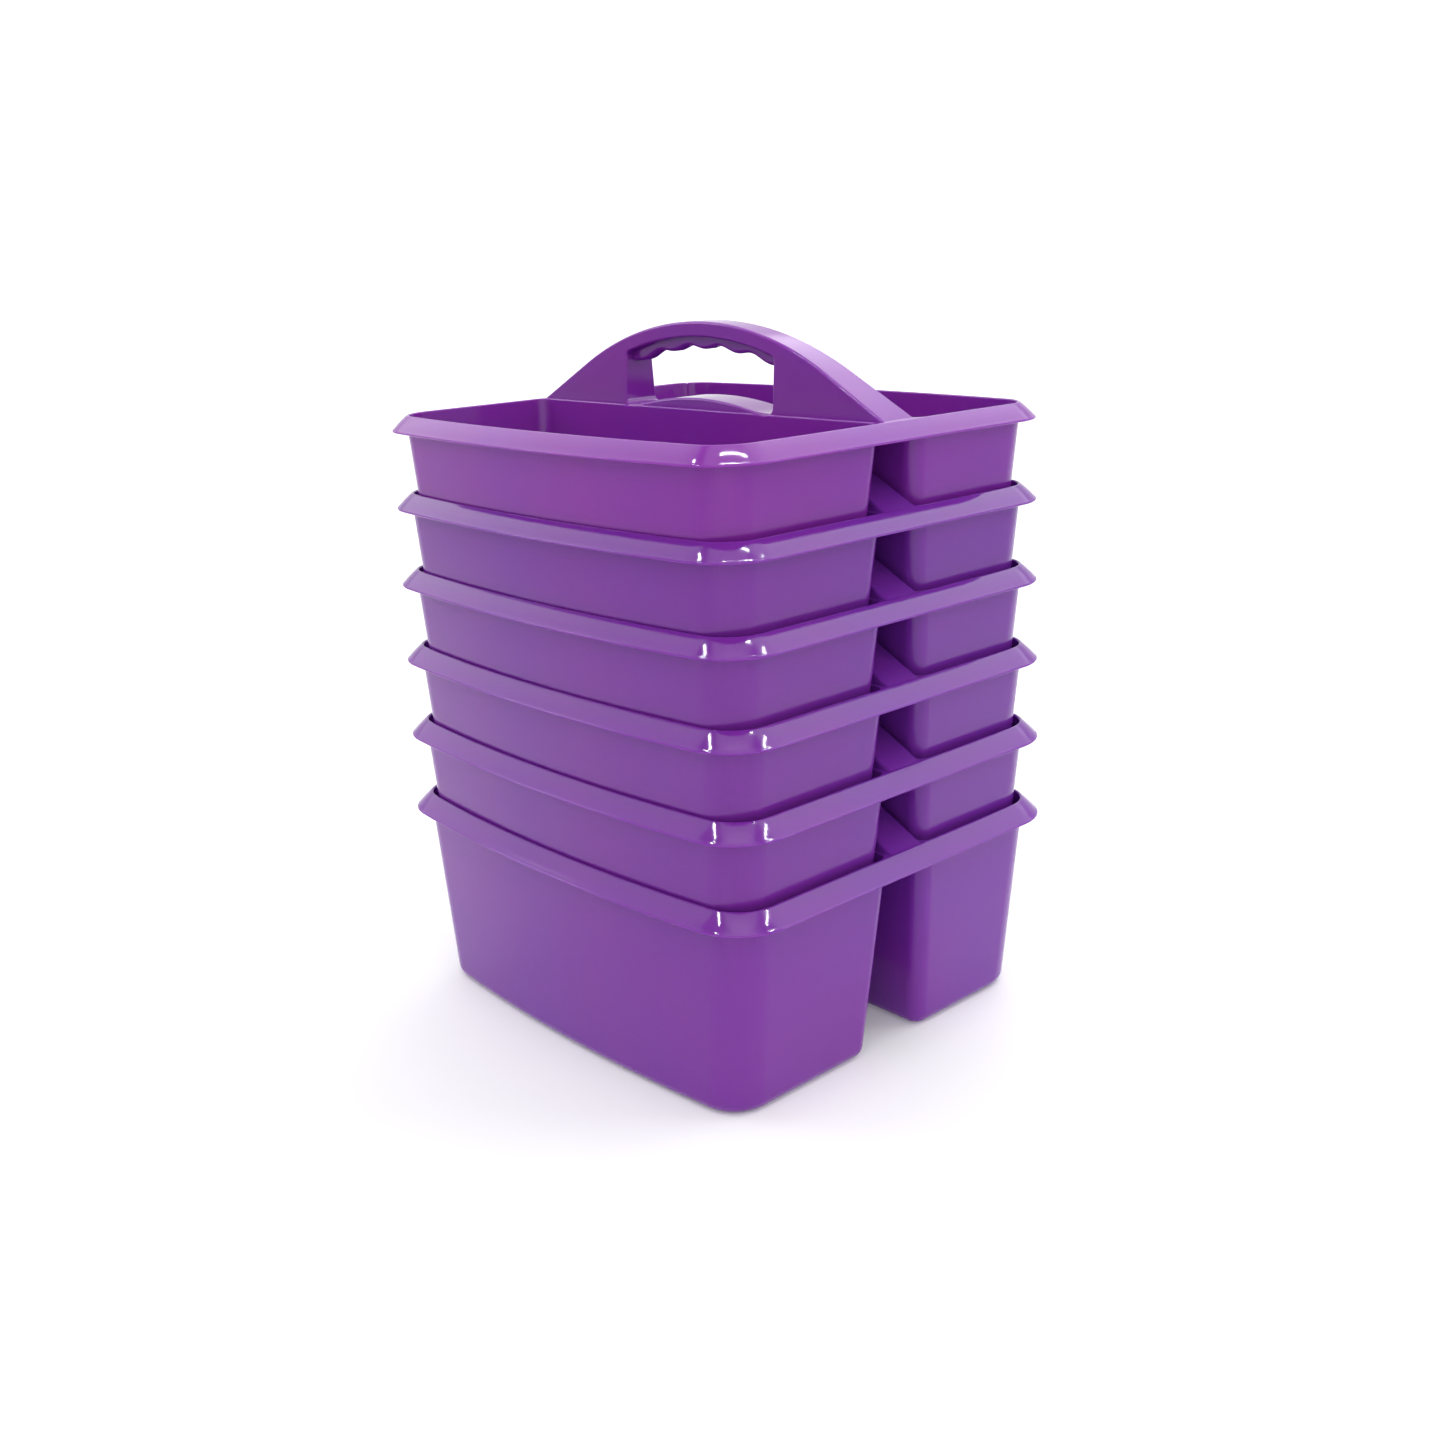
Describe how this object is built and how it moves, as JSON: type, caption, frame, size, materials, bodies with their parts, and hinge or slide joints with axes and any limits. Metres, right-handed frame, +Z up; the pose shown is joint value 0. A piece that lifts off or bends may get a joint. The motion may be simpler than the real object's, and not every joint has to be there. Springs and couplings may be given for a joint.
{
  "type": "cleaning caddy",
  "caption": "Nested stack of two-compartment cleaning caddies, each a thin tub pair under one arched carry handle; upper ones lift off.",
  "frame": {"origin": "middle of the stack's footprint, on the floor it stands on", "axes": "+Z up, +X along the arched handles, +Y from the front tubs to the rear tubs"},
  "size_m": [0.235, 0.21, 0.3043],
  "materials": {
    "purple_plastic": "satin moulded polypropylene"
  },
  "bodies": {
    "caddy_1": {"caddy_1": "purple_plastic"},
    "caddy_2": {"caddy_2": "purple_plastic"},
    "caddy_3": {"caddy_3": "purple_plastic"},
    "caddy_4": {"caddy_4": "purple_plastic"},
    "caddy_5": {"caddy_5": "purple_plastic"},
    "caddy_6": {"caddy_6": "purple_plastic"}
  },
  "joints": [
    {"name": "caddy_2_lift", "type": "slide", "parent": "caddy_1", "child": "caddy_2", "axis": [0, 0, 1], "range_m": [0, 0.1]},
    {"name": "caddy_3_lift", "type": "slide", "parent": "caddy_2", "child": "caddy_3", "axis": [0, 0, 1], "range_m": [0, 0.1]},
    {"name": "caddy_4_lift", "type": "slide", "parent": "caddy_3", "child": "caddy_4", "axis": [0, 0, 1], "range_m": [0, 0.1]},
    {"name": "caddy_5_lift", "type": "slide", "parent": "caddy_4", "child": "caddy_5", "axis": [0, 0, 1], "range_m": [0, 0.1]},
    {"name": "caddy_6_lift", "type": "slide", "parent": "caddy_5", "child": "caddy_6", "axis": [0, 0, 1], "range_m": [0, 0.1]}
  ]
}
